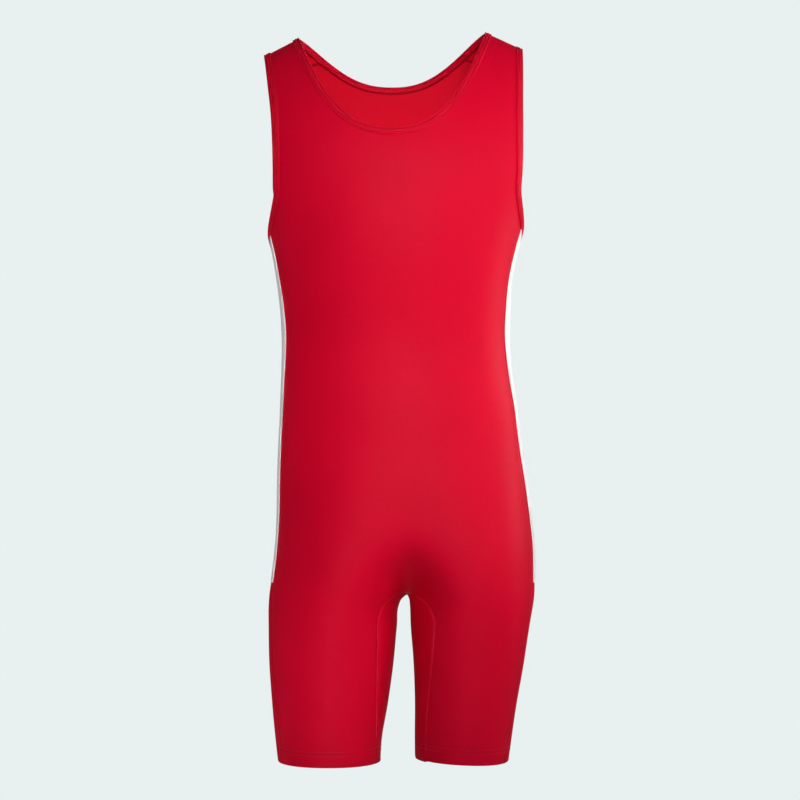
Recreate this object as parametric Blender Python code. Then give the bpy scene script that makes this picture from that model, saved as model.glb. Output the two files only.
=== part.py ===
# A weightlifting singlet, filled out as it is when worn, with no wearer in it.
#
# Sizes are in millimetres, and become metres where a mesh is made. +Z is up and the front
# faces -Y, so the wearer's left is at +X. Left and right are always the wearer's.
# The origin lies midway between the ridges of the two shoulder straps, where the wearer holds
# the garment up.
#
# The cloth lies on the surface of one general figure, which a chart of level sections gives.
# Seams and edges are curves on that surface. Each piece is a wall between two of them, and
# pieces that meet share the points of their seam, so the gap there is even.

import bpy
import numpy as np

MM = 0.001
OBJECT_NAME = "weightlifting_singlet"

# Cloth
CLOTH = 1.2
HEM_CLOTH = 2.2
HEM_DEPTH = 21.0
HEM_STEP = 2.0
SEAM_GAP = 0.3
BAND_CLOTH = 1.0

# The figure, by level sections, from the shoulders down to the hems. right and left are its
# sides. right_mid and left_mid are where each half is deepest: one line down the trunk, which
# parts into the middles of the two legs. right_inner and left_inner are one line down to the
# crotch, and below it the inner sides of the legs. front and back are the deepest points.
SECTION_COLUMNS = ("right", "right_mid", "right_inner", "left_inner", "left_mid", "left", "front", "back")
SECTIONS = (
    # height, right, right_mid, right_inner, left_inner, left_mid, left, front, back
    (20.0, -200.0, 0.0, 0.0, 0.0, 0.0, 202.0, -95.0, 95.0),
    (-60.0, -198.0, 0.0, 0.0, 0.0, 0.0, 203.0, -108.0, 99.0),
    (-120.0, -192.0, 2.0, 2.0, 2.0, 2.0, 201.0, -120.0, 107.0),
    (-160.0, -184.0, 3.5, 3.5, 3.5, 3.5, 194.0, -126.0, 108.0),
    (-200.0, -171.0, 4.5, 4.5, 4.5, 4.5, 180.0, -127.0, 106.0),
    (-230.0, -160.5, 4.5, 4.5, 4.5, 4.5, 168.0, -126.0, 103.0),
    (-262.0, -152.0, 4.5, 4.5, 4.5, 4.5, 158.5, -124.0, 100.0),
    (-299.0, -145.5, 4.5, 4.5, 4.5, 4.5, 151.0, -119.0, 97.0),
    (-341.0, -140.8, 5.5, 5.5, 5.5, 5.5, 148.2, -112.0, 94.0),
    (-380.0, -138.8, 6.0, 6.0, 6.0, 6.0, 148.0, -107.0, 92.5),
    (-420.0, -139.5, 7.0, 7.0, 7.0, 7.0, 151.2, -106.0, 93.0),
    (-464.0, -141.5, 9.0, 9.0, 9.0, 9.0, 158.5, -108.0, 99.0),
    (-510.0, -144.0, 6.5, 10.5, 10.5, 14.5, 164.5, -110.0, 108.0),
    (-560.0, -145.5, -8.0, 14.0, 14.0, 36.0, 172.2, -111.0, 119.0),
    (-600.0, -146.0, -26.0, 16.0, 16.0, 58.0, 177.3, -110.5, 126.0),
    (-640.0, -148.5, -45.0, 18.0, 18.0, 81.0, 180.8, -109.0, 127.0),
    (-675.0, -152.5, -60.0, 19.0, 19.0, 94.0, 180.9, -106.0, 121.0),
    (-698.6, -155.6, -67.5, 19.0, 19.0, 99.0, 180.5, -103.0, 112.0),
    (-704.0, -156.0, -69.0, 12.5, 21.5, 99.5, 180.0, -102.3, 110.0),
    (-712.0, -156.4, -71.0, 8.8, 22.5, 100.0, 178.8, -101.0, 107.0),
    (-737.0, -156.3, -74.5, 6.5, 23.5, 99.2, 174.5, -98.0, 97.0),
    (-783.0, -155.6, -76.7, 2.3, 27.0, 97.5, 167.2, -92.0, 87.0),
    (-833.0, -152.0, -78.7, -4.8, 29.2, 94.0, 158.2, -86.0, 79.0),
    (-885.0, -147.2, -80.4, -13.2, 29.2, 90.2, 150.8, -79.5, 72.0),
    (-915.0, -144.0, -79.5, -14.7, 29.4, 88.3, 146.6, -77.0, 69.0),
)
SIDE_POWER = 2.25
CROTCH = -698.6
CROTCH_SLOPE = 0.006
CROTCH_SWELL = 0.00015
THIGH_POWER = 2.6
LEG_ROUND_TOP = -705.0
LEG_ROUND_BOTTOM = -790.0

# Shoulders: the ridge falls from the neck to the arm, and the wearer's left is a little higher.
SHOULDER_BASE = -150.0
RIDGE_TOP = 81.5
RIDGE_FALL = 0.535
RIDGE_ROUND = 60.0
RIDGE_TILT = 0.03
SHOULDER_SEAM = 38.0

# Neckline, along its free edge
NECK_HALF_WIDTH = 118.0
FRONT_NECK = -116.6
BACK_NECK = -45.2
FRONT_NECK_POWER = 2.6
BACK_NECK_POWER = 2.4
BACK_NECK_ROUND = 1.5

# Armholes, along their free edges: how far out each edge runs, above the scoop under the arm.
ARMHOLE_COLUMNS = ("right_front", "left_front", "right_back", "left_back")
ARMHOLES = (
    # height, right_front, left_front, right_back, left_back
    (-5.0, -163.5, 165.0, -163.5, 165.0),
    (-47.0, -155.5, 164.0, -160.0, 164.0),
    (-78.0, -150.0, 163.2, -157.0, 162.5),
    (-122.0, -147.2, 162.6, -155.0, 161.5),
    (-165.0, -146.0, 161.8, -154.0, 160.0),
    (-195.0, -146.5, 160.0, -153.5, 158.5),
)
STRAP_CORNER = {"right": -163.5, "left": 165.0}
SCOOP_TOP = -182.0
SCOOP_BOTTOM = {"right": -256.0, "left": -248.0}
SCOOP_LOWEST_ANGLE = -12.0
SCOOP_POWER = 1.5

# Side panels: how far their seams lie ahead of and behind the line of the figure's side.
SIDE_SEAM_COLUMNS = ("front", "back")
SIDE_SEAMS = (
    # height, front, back
    (-200.0, 27.0, 27.0),
    (-300.0, 30.0, 28.0),
    (-360.0, 34.0, 30.0),
    (-430.0, 28.0, 30.0),
    (-500.0, 30.0, 32.0),
    (-580.0, 34.0, 34.0),
    (-700.0, 36.0, 34.0),
    (-915.0, 38.0, 30.0),
)
BAND_END = -682.0
BAND_INSET = 0.04

# Gusset: its seams arch over the crotch and run down the inner thighs to the hems.
GUSSET_ARCH_TOP = -695.4
GUSSET_ARCH_FOOT = -731.0
GUSSET_COLUMNS = ("right_front", "left_front", "right_back", "left_back")
GUSSET_SEAMS = (
    # height, right_front, left_front, right_back, left_back
    (-731.0, -17.5, 53.5, -18.0, 52.0),
    (-783.0, -18.2, 49.5, -22.0, 46.0),
    (-850.0, -19.2, 43.5, -26.0, 38.5),
    (-915.0, -19.4, 41.8, -29.0, 34.0),
)

# Hems: the right one is level, and the left one rises towards the inner thigh.
HEM_HEIGHT = {"right": -909.0, "left": -903.0}
HEM_SLOPE = {"right": 0.0, "left": -0.045}
HEM_SLOPE_FROM = 31.4

# Binding of the neck and armholes, across from the panel's edge and out from the cloth.
BINDING_WIDTH = 8.0
BINDING_SECTION = (
    # across, out
    (0.15, 0.5),
    (4.0, 0.8),
    (7.2, 0.5),
    (8.0, -0.6),
    (7.2, -1.7),
    (4.0, -2.0),
    (0.15, -1.7),
)

# How finely the pieces are divided
STRAP_ROWS = {"front": 14, "back": 9}
CHEST_ROWS = {"front": 4, "back": 7}
TRUNK_ROWS = 19
HIP_ROWS = 2
THIGH_ROWS = 12
ARCH_ROWS = 8
LEG_ROWS = 6
PANEL_COLUMNS = 10
CHEST_LINE = -215.0
HIP_TOP = -640.0
CROTCH_APPROACH = -600.0
CROTCH_AXIS_PACE = 0.5  # how early the gusset's axis leaves the crotch for the legs
CROTCH_AXIS_RISE = 80.0
STRAP_AXIS = -100.0
STRAP_AXIS_SHIFT = 0.75
SCOOP_FADE_ROWS = 6
SIDE_STEPS = (0.0, BAND_INSET, 0.35, 0.65, 1.0 - BAND_INSET, 1.0)
GUSSET_STEPS = 8
CURVE_SAMPLES = 400
SCOOP_SAMPLES = 120
CAST_STRIDE = 4.0
CAST_REACH = 400.0
CAST_HALVINGS = 30

RED = (0.60, 0.010, 0.030, 1.0)
WHITE = (0.90, 0.88, 0.88, 1.0)
KNIT_ROUGHNESS = 0.42
BAND_ROUGHNESS = 0.55

SIDES = ("right", "left")
FORWARD = {"front": 1.0, "back": -1.0}
TOWARD = {"front": -1.0, "back": 1.0}
SHARP_ANGLE = 40.0


# Tables and curves


def table_at(rows, columns, heights):
    # Every column of a table at these heights, on a smooth curve through its rows.
    data = np.array(rows)[np.argsort([row[0] for row in rows])]
    levels = data[:, 0]
    slopes = np.gradient(data[:, 1:], levels, axis=0)
    heights = np.clip(heights, levels[0], levels[-1])
    below = np.clip(np.searchsorted(levels, heights, side="right") - 1, 0, len(levels) - 2)
    step = (levels[below + 1] - levels[below])[:, None]
    part = (heights[:, None] - levels[below][:, None]) / step
    rest = 1.0 - part
    values = (1.0 + 2.0 * part) * rest**2 * data[below, 1:]
    values += part * rest**2 * step * slopes[below]
    values += part**2 * (3.0 - 2.0 * part) * data[below + 1, 1:]
    values -= part**2 * rest * step * slopes[below + 1]
    return dict(zip(columns, values.T))


def ease(value, start, end):
    part = np.clip((value - start) / (end - start), 0.0, 1.0)
    return part**2 * (3.0 - 2.0 * part)


def unit(vectors):
    return vectors / np.linalg.norm(vectors, axis=-1, keepdims=True)


def lengths_along(curve):
    steps = np.linalg.norm(np.diff(curve, axis=0), axis=1)
    return np.concatenate([[0.0], np.cumsum(steps)])


def points_at(curve, lengths):
    run = lengths_along(curve)
    return np.stack([np.interp(lengths, run, curve[:, axis]) for axis in range(3)], axis=1)


def evenly(curve, steps):
    return points_at(curve, np.linspace(0.0, lengths_along(curve)[-1], steps + 1))


def joined(*curves):
    # The curves as one, where each starts at the end of the one before.
    return np.concatenate([curves[0]] + [curve[1:] for curve in curves[1:]])


# The figure


def ridge_height(x):
    return RIDGE_TOP - RIDGE_FALL * np.sqrt(x**2 + RIDGE_ROUND**2) + RIDGE_TILT * x


def thigh_fall(part):
    # Falls off from the middle of a thigh, at 0, to the line between the thighs, at 1.
    return 1.0 - (1.0 - np.abs(part) ** THIGH_POWER) ** 2


def fullness(x, z):
    # How deep the section is at this place, squared, as a share of its greatest depth: 1 at its
    # middle, 0 at its outline and less outside it.
    row = table_at(SECTIONS, SECTION_COLUMNS, z)
    between = (row["right_inner"] + row["left_inner"]) / 2.0
    is_right = x < between
    middle = np.where(is_right, row["right_mid"], row["left_mid"])
    outside = np.where(is_right, row["right"], row["left"])
    inside = np.where(is_right, row["right_inner"], row["left_inner"])
    outer_part = (x - middle) / (outside - middle)
    outer = 1.0 - np.abs(outer_part) ** SIDE_POWER

    apart = between - middle
    apart = np.where(np.abs(apart) < 1e-6, 1e-6, apart)
    inner_part = np.clip((x - middle) / apart, 0.0, 1.0)
    inner_edge = np.clip((inside - middle) / apart, 0.01, 1.0)
    above = np.maximum(z - CROTCH, 0.0)
    rise = CROTCH_SLOPE * above + CROTCH_SWELL * above**2
    bridge = rise / (1.0 + rise**4) ** 0.25
    trunk = 1.0 - (1.0 - bridge) * thigh_fall(inner_part)
    cleft = 1.0 - thigh_fall(inner_part) / thigh_fall(inner_edge)
    leg = 1.0 - np.abs(inner_part / inner_edge) ** SIDE_POWER
    roundness = ease(z, LEG_ROUND_TOP, LEG_ROUND_BOTTOM)
    inner = np.where(z > CROTCH, trunk, cleft + (leg - cleft) * roundness)

    share = np.where(outer_part >= 0.0, outer, inner)
    climb = np.maximum(z - SHOULDER_BASE, 0.0) / (ridge_height(x) - SHOULDER_BASE)
    return share * (1.0 - np.abs(climb) * climb), row


def depth_of(row):
    return (row["back"] - row["front"]) / 2.0, (row["back"] + row["front"]) / 2.0


def outside_figure(points):
    # Above 0 outside the figure, below 0 inside it.
    share, row = fullness(points[:, 0], points[:, 2])
    depth, centre = depth_of(row)
    return ((points[:, 1] - centre) / depth) ** 2 - share


def slope_of_figure(points):
    step = 0.05
    slope = np.empty_like(points)
    for axis in range(3):
        shift = np.zeros(3)
        shift[axis] = step
        change = outside_figure(points + shift) - outside_figure(points - shift)
        slope[:, axis] = change / (2.0 * step)
    return slope


def normals_of(points):
    flat = points.reshape(-1, 3)
    return unit(slope_of_figure(flat)).reshape(points.shape)


def settle(points):
    # Moves points that lie near the figure onto it.
    for _ in range(4):
        slope = slope_of_figure(points)
        away = outside_figure(points) / (slope**2).sum(axis=1)
        points = points - slope * away[:, None]
    return points


def on_front_or_back(x, z, toward):
    # The point of the figure at this place in the front view: toward is -1 in front, 1 behind.
    x = np.asarray(x, float)
    z = np.asarray(z, float)
    share, row = fullness(x, z)
    depth, centre = depth_of(row)
    return np.stack([x, centre + toward * depth * np.sqrt(np.maximum(share, 0.0)), z], axis=1)


def at_angle(side, angle, z):
    # The point of a side of the figure at this angle ahead of its side line.
    row = table_at(SECTIONS, SECTION_COLUMNS, z)
    depth, centre = depth_of(row)
    middle = row[side + "_mid"]
    reach = np.cos(angle) ** (2.0 / SIDE_POWER)
    return np.stack([middle + (row[side] - middle) * reach, centre - depth * np.sin(angle), z], axis=1)


def cast(starts, directions):
    # Where rays from inside the figure come out of it.
    low = np.zeros(len(starts))
    high = np.zeros(len(starts))
    for reach in np.arange(CAST_STRIDE, CAST_REACH, CAST_STRIDE):
        outside = outside_figure(starts + directions * reach) > 0.0
        found = outside & (high == 0.0)
        high[found] = reach
        low[found] = reach - CAST_STRIDE
        if high.all():
            break
    for _ in range(CAST_HALVINGS):
        middle = (low + high) / 2.0
        outside = outside_figure(starts + directions * middle[:, None]) > 0.0
        high = np.where(outside, middle, high)
        low = np.where(outside, low, middle)
    return starts + directions * high[:, None]


def rows_between(starts, ends, axes, shares):
    # Rows of points over the figure, each from its start to its end, seen from its axis point.
    first, last = unit(starts - axes), unit(ends - axes)
    sweep = np.arccos(np.clip((first * last).sum(axis=1), -1.0, 1.0))[:, None]
    rows = [starts]
    for share in shares[1:-1]:
        turned = np.sin((1.0 - share) * sweep) * first + np.sin(share * sweep) * last
        rows.append(cast(axes, unit(turned)))
    rows.append(ends)
    return np.stack(rows, axis=1)


# Seams and edges


def beside(curve, width):
    # The line this far inside a closed edge, on the cloth side, level with each of its points.
    along = unit(np.roll(curve, -1, axis=0) - np.roll(curve, 1, axis=0))
    across = np.cross(normals_of(curve), along)
    hole = curve.mean(axis=0)
    if ((curve - hole) * across).sum() < 0.0:
        across = -across
    return settle(curve + across * width)


def climb_of(points):
    return (points[:, 2] - SHOULDER_BASE) / (ridge_height(points[:, 0]) - SHOULDER_BASE)


def hem_at(side, x):
    return HEM_HEIGHT[side] + HEM_SLOPE[side] * (x - HEM_SLOPE_FROM)


def neck_half(face):
    # Half of the neckline's free edge, from the right strap's ridge to the left one's.
    share = np.sin(np.linspace(-np.pi / 2.0, np.pi / 2.0, 2 * CURVE_SAMPLES + 1))
    if face == "front":
        lowest = FRONT_NECK
        rise = np.abs(share) ** FRONT_NECK_POWER
    else:
        lowest = BACK_NECK
        rise = 1.0 - (1.0 - np.abs(share) ** BACK_NECK_POWER) ** BACK_NECK_ROUND
    rim = ridge_height(np.sign(share) * NECK_HALF_WIDTH)
    return on_front_or_back(share * NECK_HALF_WIDTH, lowest + (rim - lowest) * rise, TOWARD[face])


def armhole_loop(side):
    # The free edge of an armhole: from the ridge down its front, under the arm and up its back.
    top = float(ridge_height(np.array(STRAP_CORNER[side])))
    drop = np.linspace(0.0, 1.0, CURVE_SAMPLES) ** 2
    z = top + (SCOOP_TOP - top) * drop
    table = table_at(ARMHOLES, ARMHOLE_COLUMNS, z)
    front = on_front_or_back(table[side + "_front"], z, -1.0)
    back = on_front_or_back(table[side + "_back"], z, 1.0)

    depth, centre = depth_of(table_at(SECTIONS, SECTION_COLUMNS, np.array([SCOOP_TOP])))
    lowest = np.radians(SCOOP_LOWEST_ANGLE)
    turn = np.linspace(1.0, 0.0, SCOOP_SAMPLES)
    share = np.sin(turn * np.pi / 2.0)
    z = SCOOP_TOP + (SCOOP_BOTTOM[side] - SCOOP_TOP) * (1.0 - share**SCOOP_POWER) ** (1.0 / SCOOP_POWER)
    scoops = []
    for upright in (front, back):
        angle = np.arcsin((centre[0] - upright[-1, 1]) / depth[0])
        scoops.append(at_angle(side, lowest + (angle - lowest) * share, z))
    return joined(front, scoops[0], scoops[1][::-1], back[::-1])[:-1]


def stretch(line, edge, steps):
    # Evenly spaced points of a bound panel edge, each with its point of the free edge.
    run = lengths_along(line)
    at = np.linspace(0.0, run[-1], steps + 1)
    free = np.stack([np.interp(at, run, edge[:, axis]) for axis in range(3)], axis=1)
    return points_at(line, at), free


def seam_offset(face, z):
    table = table_at(SIDE_SEAMS, SIDE_SEAM_COLUMNS, z)
    return table[face] * FORWARD[face]


def side_angle(points):
    # How far ahead of the side line these points of the figure's side lie, as an angle.
    depth, centre = depth_of(table_at(SECTIONS, SECTION_COLUMNS, points[:, 2]))
    return np.arcsin(np.clip((centre - points[:, 1]) / depth, -1.0, 1.0))


def side_seam(side, face, top):
    # A side seam from the armhole's panel edge to the hem.
    hips = np.linspace(HIP_TOP, BAND_END, HIP_ROWS + 1)
    outer = table_at(SECTIONS, SECTION_COLUMNS, np.array([HEM_HEIGHT[side]]))[side][0]
    hem = hem_at(side, outer)
    fold = hem + HEM_DEPTH
    thigh = np.linspace(BAND_END, fold + HEM_STEP, THIGH_ROWS + 1)
    trunk = np.linspace(top[2], HIP_TOP, TRUNK_ROWS + 1)
    z = np.concatenate([trunk, hips[1:], thigh[1:], [fold, hem]])
    depth, _ = depth_of(table_at(SECTIONS, SECTION_COLUMNS, z))
    seam = at_angle(side, np.arcsin(seam_offset(face, z) / depth), z)
    seam[0] = top
    return seam


def centre_line(face, top):
    # The line down the middle of a panel, from the neckline to the gusset.
    z = np.linspace(top[2], GUSSET_ARCH_TOP, 2 * CURVE_SAMPLES)
    row = table_at(SECTIONS, SECTION_COLUMNS, z)
    x = (row["right_inner"] + row["left_inner"]) / 2.0
    arch = table_at(GUSSET_SEAMS, GUSSET_COLUMNS, np.array([GUSSET_ARCH_FOOT]))
    apex = (arch["right_" + face][0] + arch["left_" + face][0]) / 2.0
    x = x + (apex - x) * ease(z, CROTCH_APPROACH, GUSSET_ARCH_TOP)
    x[0] = top[0]
    x = x + (top[0] - x) * ease(z, CHEST_LINE, top[2])
    line = on_front_or_back(x, z, TOWARD[face])
    line[0] = top
    chest = line[z >= CHEST_LINE]
    trunk = line[len(chest) - 1 :]
    return joined(evenly(chest, CHEST_ROWS[face]), evenly(trunk, TRUNK_ROWS))


def gusset_seam(side, face):
    # A seam of the gusset, from its top over the crotch to the hem of one leg.
    foot = table_at(GUSSET_SEAMS, GUSSET_COLUMNS, np.array([GUSSET_ARCH_FOOT]))
    apex = (foot["right_" + face][0] + foot["left_" + face][0]) / 2.0
    span = foot[side + "_" + face][0] - apex
    turn = np.linspace(0.0, np.pi / 2.0, ARCH_ROWS + 1)
    arch_x = apex + span * np.sin(turn)
    arch_z = GUSSET_ARCH_FOOT + (GUSSET_ARCH_TOP - GUSSET_ARCH_FOOT) * np.cos(turn)

    hem_x = table_at(GUSSET_SEAMS, GUSSET_COLUMNS, np.array([HEM_HEIGHT[side]]))[side + "_" + face][0]
    hem = hem_at(side, hem_x)
    fold = hem + HEM_DEPTH
    leg_z = np.linspace(GUSSET_ARCH_FOOT, fold + HEM_STEP, LEG_ROWS + 1)
    leg_z = np.concatenate([leg_z[1:], [fold, hem]])
    leg_x = table_at(GUSSET_SEAMS, GUSSET_COLUMNS, leg_z)[side + "_" + face]
    x = np.concatenate([arch_x, leg_x])
    z = np.concatenate([arch_z, leg_z])
    return on_front_or_back(x, z, TOWARD[face])


# Pieces


def axes_for(side, starts, ends):
    # A point inside the figure for each row, from which its points are spread.
    middle = (starts + ends) / 2.0
    z = np.minimum(middle[:, 2], STRAP_AXIS)
    row = table_at(SECTIONS, SECTION_COLUMNS, z)
    _, centre = depth_of(row)
    aside = STRAP_AXIS_SHIFT * ease(middle[:, 2], SHOULDER_BASE, 0.0)
    x = row[side + "_mid"] + (middle[:, 0] - row[side + "_mid"]) * aside
    return np.stack([x, centre, z], axis=1)


def cloth_grid(points, hem_rows):
    # The points with the cloth's thickness at each, which is more at a turned-up hem.
    thickness = np.full(points.shape[:2] + (1,), CLOTH)
    for row in hem_rows:
        thickness[row] = HEM_CLOTH
    return np.concatenate([points, thickness], axis=2)


def panel_grids(outer, inner):
    # The two halves of a front or back panel, each with columns that run towards the left.
    shares = np.linspace(0.0, 1.0, PANEL_COLUMNS + 1)
    grids = []
    for side in SIDES:
        axes = axes_for(side, outer[side], inner[side])
        grid = rows_between(outer[side], inner[side], axes, shares)
        if side == "left":
            grid = grid[:, ::-1]
        grids.append(cloth_grid(grid, (-1, -2)))
    return grids


def side_grid(side, front, back, top):
    # A side panel: its top row follows the armhole, and the rows below it level out.
    grid = []
    first_angles = side_angle(top)
    for index, (ahead, behind) in enumerate(zip(front, back)):
        ends = np.stack([ahead, behind])
        steps = np.array(SIDE_STEPS)
        angles = side_angle(ends)
        angle = angles[0] + (angles[1] - angles[0]) * steps
        z = ahead[2] + (behind[2] - ahead[2]) * steps
        if index == 0:
            bend = top[:, 2] - z
            swing = first_angles - angle
            row = top
        else:
            fade = max(0.0, 1.0 - index / SCOOP_FADE_ROWS) ** 2
            row = at_angle(side, angle + swing * fade, z + bend * fade)
            row[0], row[-1] = ahead, behind
        grid.append(row)
    return cloth_grid(np.stack(grid), (-1, -2))


def gusset_grid(seams):
    # The gusset, from the right hem over the crotch to the left hem.
    steps = np.linspace(0.0, 1.0, GUSSET_STEPS + 1)
    halves = []
    for side in SIDES:
        front, back = seams[side, "front"], seams[side, "back"]
        middle = (front + back) / 2.0
        row = table_at(SECTIONS, SECTION_COLUMNS, middle[:, 2])
        _, centre = depth_of(row)
        leg = np.stack([row[side + "_mid"], centre, middle[:, 2]], axis=1)
        crotch = np.array([middle[0, 0], centre[0], CROTCH + CROTCH_AXIS_RISE])
        share = np.minimum(np.arange(len(front)) / ARCH_ROWS, 1.0)[:, None] ** CROTCH_AXIS_PACE
        halves.append(rows_between(front, back, crotch + (leg - crotch) * share, steps))
    whole = np.concatenate([halves[0][::-1], halves[1][1:]])
    return cloth_grid(whole, (0, 1, -2, -1))


def weave_sheet(grids):
    # One sheet of points and triangles from grids that share points where they meet.
    points, faces, known = [], [], {}
    for grid in grids:
        rows, columns = grid.shape[:2]
        keys = [[tuple(np.round(grid[i, j, :3], 4)) for j in range(columns)] for i in range(rows)]
        for i in range(rows):
            for j in range(columns):
                if keys[i][j] not in known:
                    known[keys[i][j]] = len(points)
                    points.append(grid[i, j])
        for i in range(rows - 1):
            for j in range(columns - 1):
                corners = (keys[i][j], keys[i + 1][j], keys[i + 1][j + 1], keys[i][j + 1])
                faces.append([known[key] for key in corners])
    points = np.array(points)
    # Each face is parted along the diagonal that lies nearer the figure.
    a, b, c, d = (points[np.array(faces)[:, k], :3] for k in range(4))
    stray = np.abs(outside_figure((a + c) / 2.0)) - np.abs(outside_figure((b + d) / 2.0))
    triangles = []
    for (a, b, c, d), further in zip(faces, stray):
        if further > 0.0:
            triangles += [[a, b, d], [b, c, d]]
        else:
            triangles += [[a, b, c], [a, c, d]]
    return points, triangles


def facing_out(points, faces, normals):
    corners = np.array([face[:3] for face in faces])
    a, b, c = points[corners[:, 0]], points[corners[:, 1]], points[corners[:, 2]]
    agree = (np.cross(b - a, c - a) * normals[corners[:, 0]]).sum()
    return faces if agree > 0.0 else [face[::-1] for face in faces]


def rim_of(faces):
    # The edges of a sheet that only one face has, in that face's direction.
    edges = {(face[i], face[(i + 1) % 3]) for face in faces for i in range(3)}
    return [edge for edge in edges if edge[::-1] not in edges]


def wall(grids, outside=0.0, inside=None):
    # A closed wall over a sheet, drawn back from its rim by half a seam's gap.
    sheet, faces = weave_sheet(grids)
    points, thickness = sheet[:, :3], sheet[:, 3:]
    normals = normals_of(points)
    faces = facing_out(points, faces, normals)
    rim = rim_of(faces)
    pulls = {}
    for start, end in rim:
        along = unit(points[end] - points[start])
        for corner in (start, end):
            pulls.setdefault(corner, []).append(np.cross(normals[corner], along))
    drawn = points.copy()
    for corner, (first, second) in pulls.items():
        first, second = unit(first), unit(second)
        drawn[corner] += SEAM_GAP / 2.0 * (first + second) / (1.0 + first @ second)
    outer = drawn + normals * outside
    inner = drawn - normals * (thickness if inside is None else inside)
    count = len(points)
    closed = list(faces) + [[index + count for index in face[::-1]] for face in faces]
    closed += [[end, start, start + count, end + count] for start, end in sorted(rim)]
    return np.concatenate([outer, inner]), closed


def binding(line, edge):
    # A ring of folded binding along a closed edge, with one section at each of its points.
    sections = []
    for across, out in BINDING_SECTION:
        base = line + (edge - line) * across / BINDING_WIDTH
        sections.append(base + normals_of(settle(base)) * out)
    points = np.stack(sections, axis=1)
    count, around = points.shape[:2]
    index = np.arange(count * around).reshape(count, around)
    beyond, across = np.roll(index, -1, axis=0), np.roll(index, -1, axis=1)
    corner = np.roll(beyond, -1, axis=1)
    faces = np.stack([index, beyond, corner, across], axis=2).reshape(-1, 4)
    points = points.reshape(-1, 3)
    a, b, c, d = (points[faces[:, k]] for k in range(4))
    volume = (np.cross(a, b) * c).sum() + (np.cross(a, c) * d).sum()
    return points, faces.tolist() if volume > 0.0 else faces[:, ::-1].tolist()


# Objects


def knit(name, colour, roughness):
    material = bpy.data.materials.new(name)
    material.use_nodes = True
    shader = material.node_tree.nodes["Principled BSDF"]
    shader.inputs["Base Color"].default_value = colour
    shader.inputs["Roughness"].default_value = roughness
    shader.inputs["Metallic"].default_value = 0.0
    return material


def piece(name, body, material, collection):
    points, faces = body
    mesh = bpy.data.meshes.new(name)
    mesh.from_pydata((points * MM).tolist(), [], faces)
    mesh.update()
    mesh.shade_smooth()
    mesh.set_sharp_from_angle(angle=np.radians(SHARP_ANGLE))
    mesh.materials.append(material)
    obj = bpy.data.objects.new(name, mesh)
    collection.objects.link(obj)
    return obj


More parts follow.
